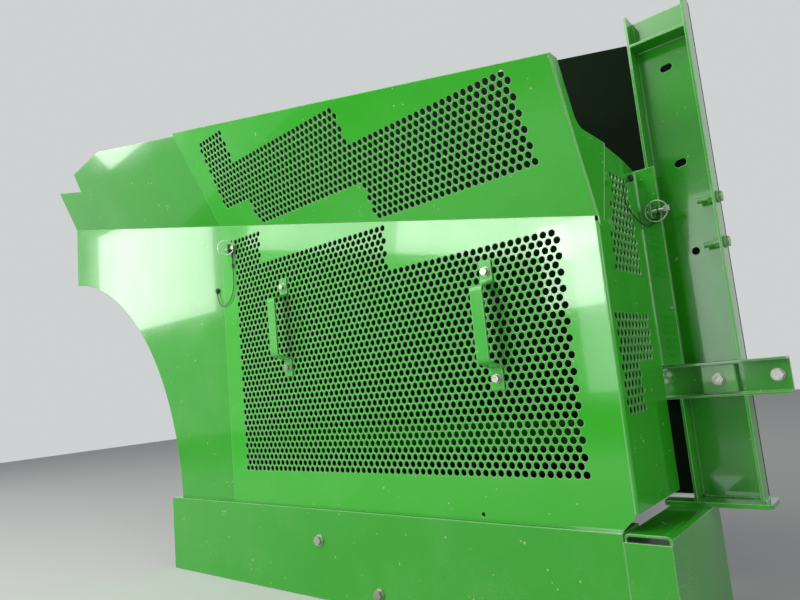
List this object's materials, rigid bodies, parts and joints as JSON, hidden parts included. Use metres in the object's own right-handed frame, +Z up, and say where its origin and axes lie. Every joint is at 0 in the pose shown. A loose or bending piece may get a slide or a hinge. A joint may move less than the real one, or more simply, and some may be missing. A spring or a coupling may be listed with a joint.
{
  "type": "combine harvester side guard",
  "caption": "Folded perforated guard over a machine's side drive, hung on a sill and post and held by two ring pins through tabs, with strap handles for lifting it off.",
  "frame": {"origin": "on the back face of the sill's lower lip, where the sill is bolted to the machine frame", "axes": "+X to the right along the guard, +Y into the machine, +Z up"},
  "size_m": [2.122, 0.3739, 1.3565],
  "materials": {
    "green_paint": "gloss",
    "frame_paint": "gloss",
    "zinc": "satin",
    "cable": "satin",
    "black_sleeve": "satin"
  },
  "bodies": {
    "frame": {"guard_front": "green_paint", "guard_hood": "green_paint", "hood_fold": "green_paint", "guard_side": "green_paint", "guard_gusset": "green_paint", "rear_flange": "green_paint", "handle_right": "green_paint", "handle_left": "green_paint", "handle_right_bolts": "zinc", "handle_left_bolts": "zinc", "handle_right_nuts": "zinc", "handle_left_nuts": "zinc", "left_panel": "frame_paint", "left_slope": "frame_paint", "left_cheek": "frame_paint", "inner_wall": "frame_paint", "inner_bar": "frame_paint", "sill": "frame_paint", "sill_end": "frame_paint", "side_rail": "frame_paint", "post_foot": "frame_paint", "stanchion": "frame_paint", "cross_beam": "frame_paint", "beam_bracket": "frame_paint", "post": "frame_paint", "post_cap": "frame_paint", "post_bolts": "frame_paint", "sill_bolts": "zinc", "beam_bolts": "zinc", "tab_right": "frame_paint", "tab_left": "frame_paint", "pin_right": "zinc", "pin_left": "zinc", "lanyard_right": "cable", "lanyard_left": "cable", "eye_right": "black_sleeve", "eye_left": "black_sleeve", "anchor_right": "black_sleeve", "anchor_left": "black_sleeve"},
    "ring_right": {"ring_right": "zinc"},
    "ring_left": {"ring_left": "zinc"}
  },
  "joints": [
    {"name": "right_ring_flip", "type": "hinge", "parent": "frame", "child": "ring_right", "pos_m": [0.577, 0.141, 0.697], "axis": [0, 0, 1], "range_deg": [0, 170]},
    {"name": "left_ring_flip", "type": "hinge", "parent": "frame", "child": "ring_left", "pos_m": [-0.4445, -0.069, 0.8195], "axis": [0, 0, 1], "range_deg": [-50, 120]}
  ]
}
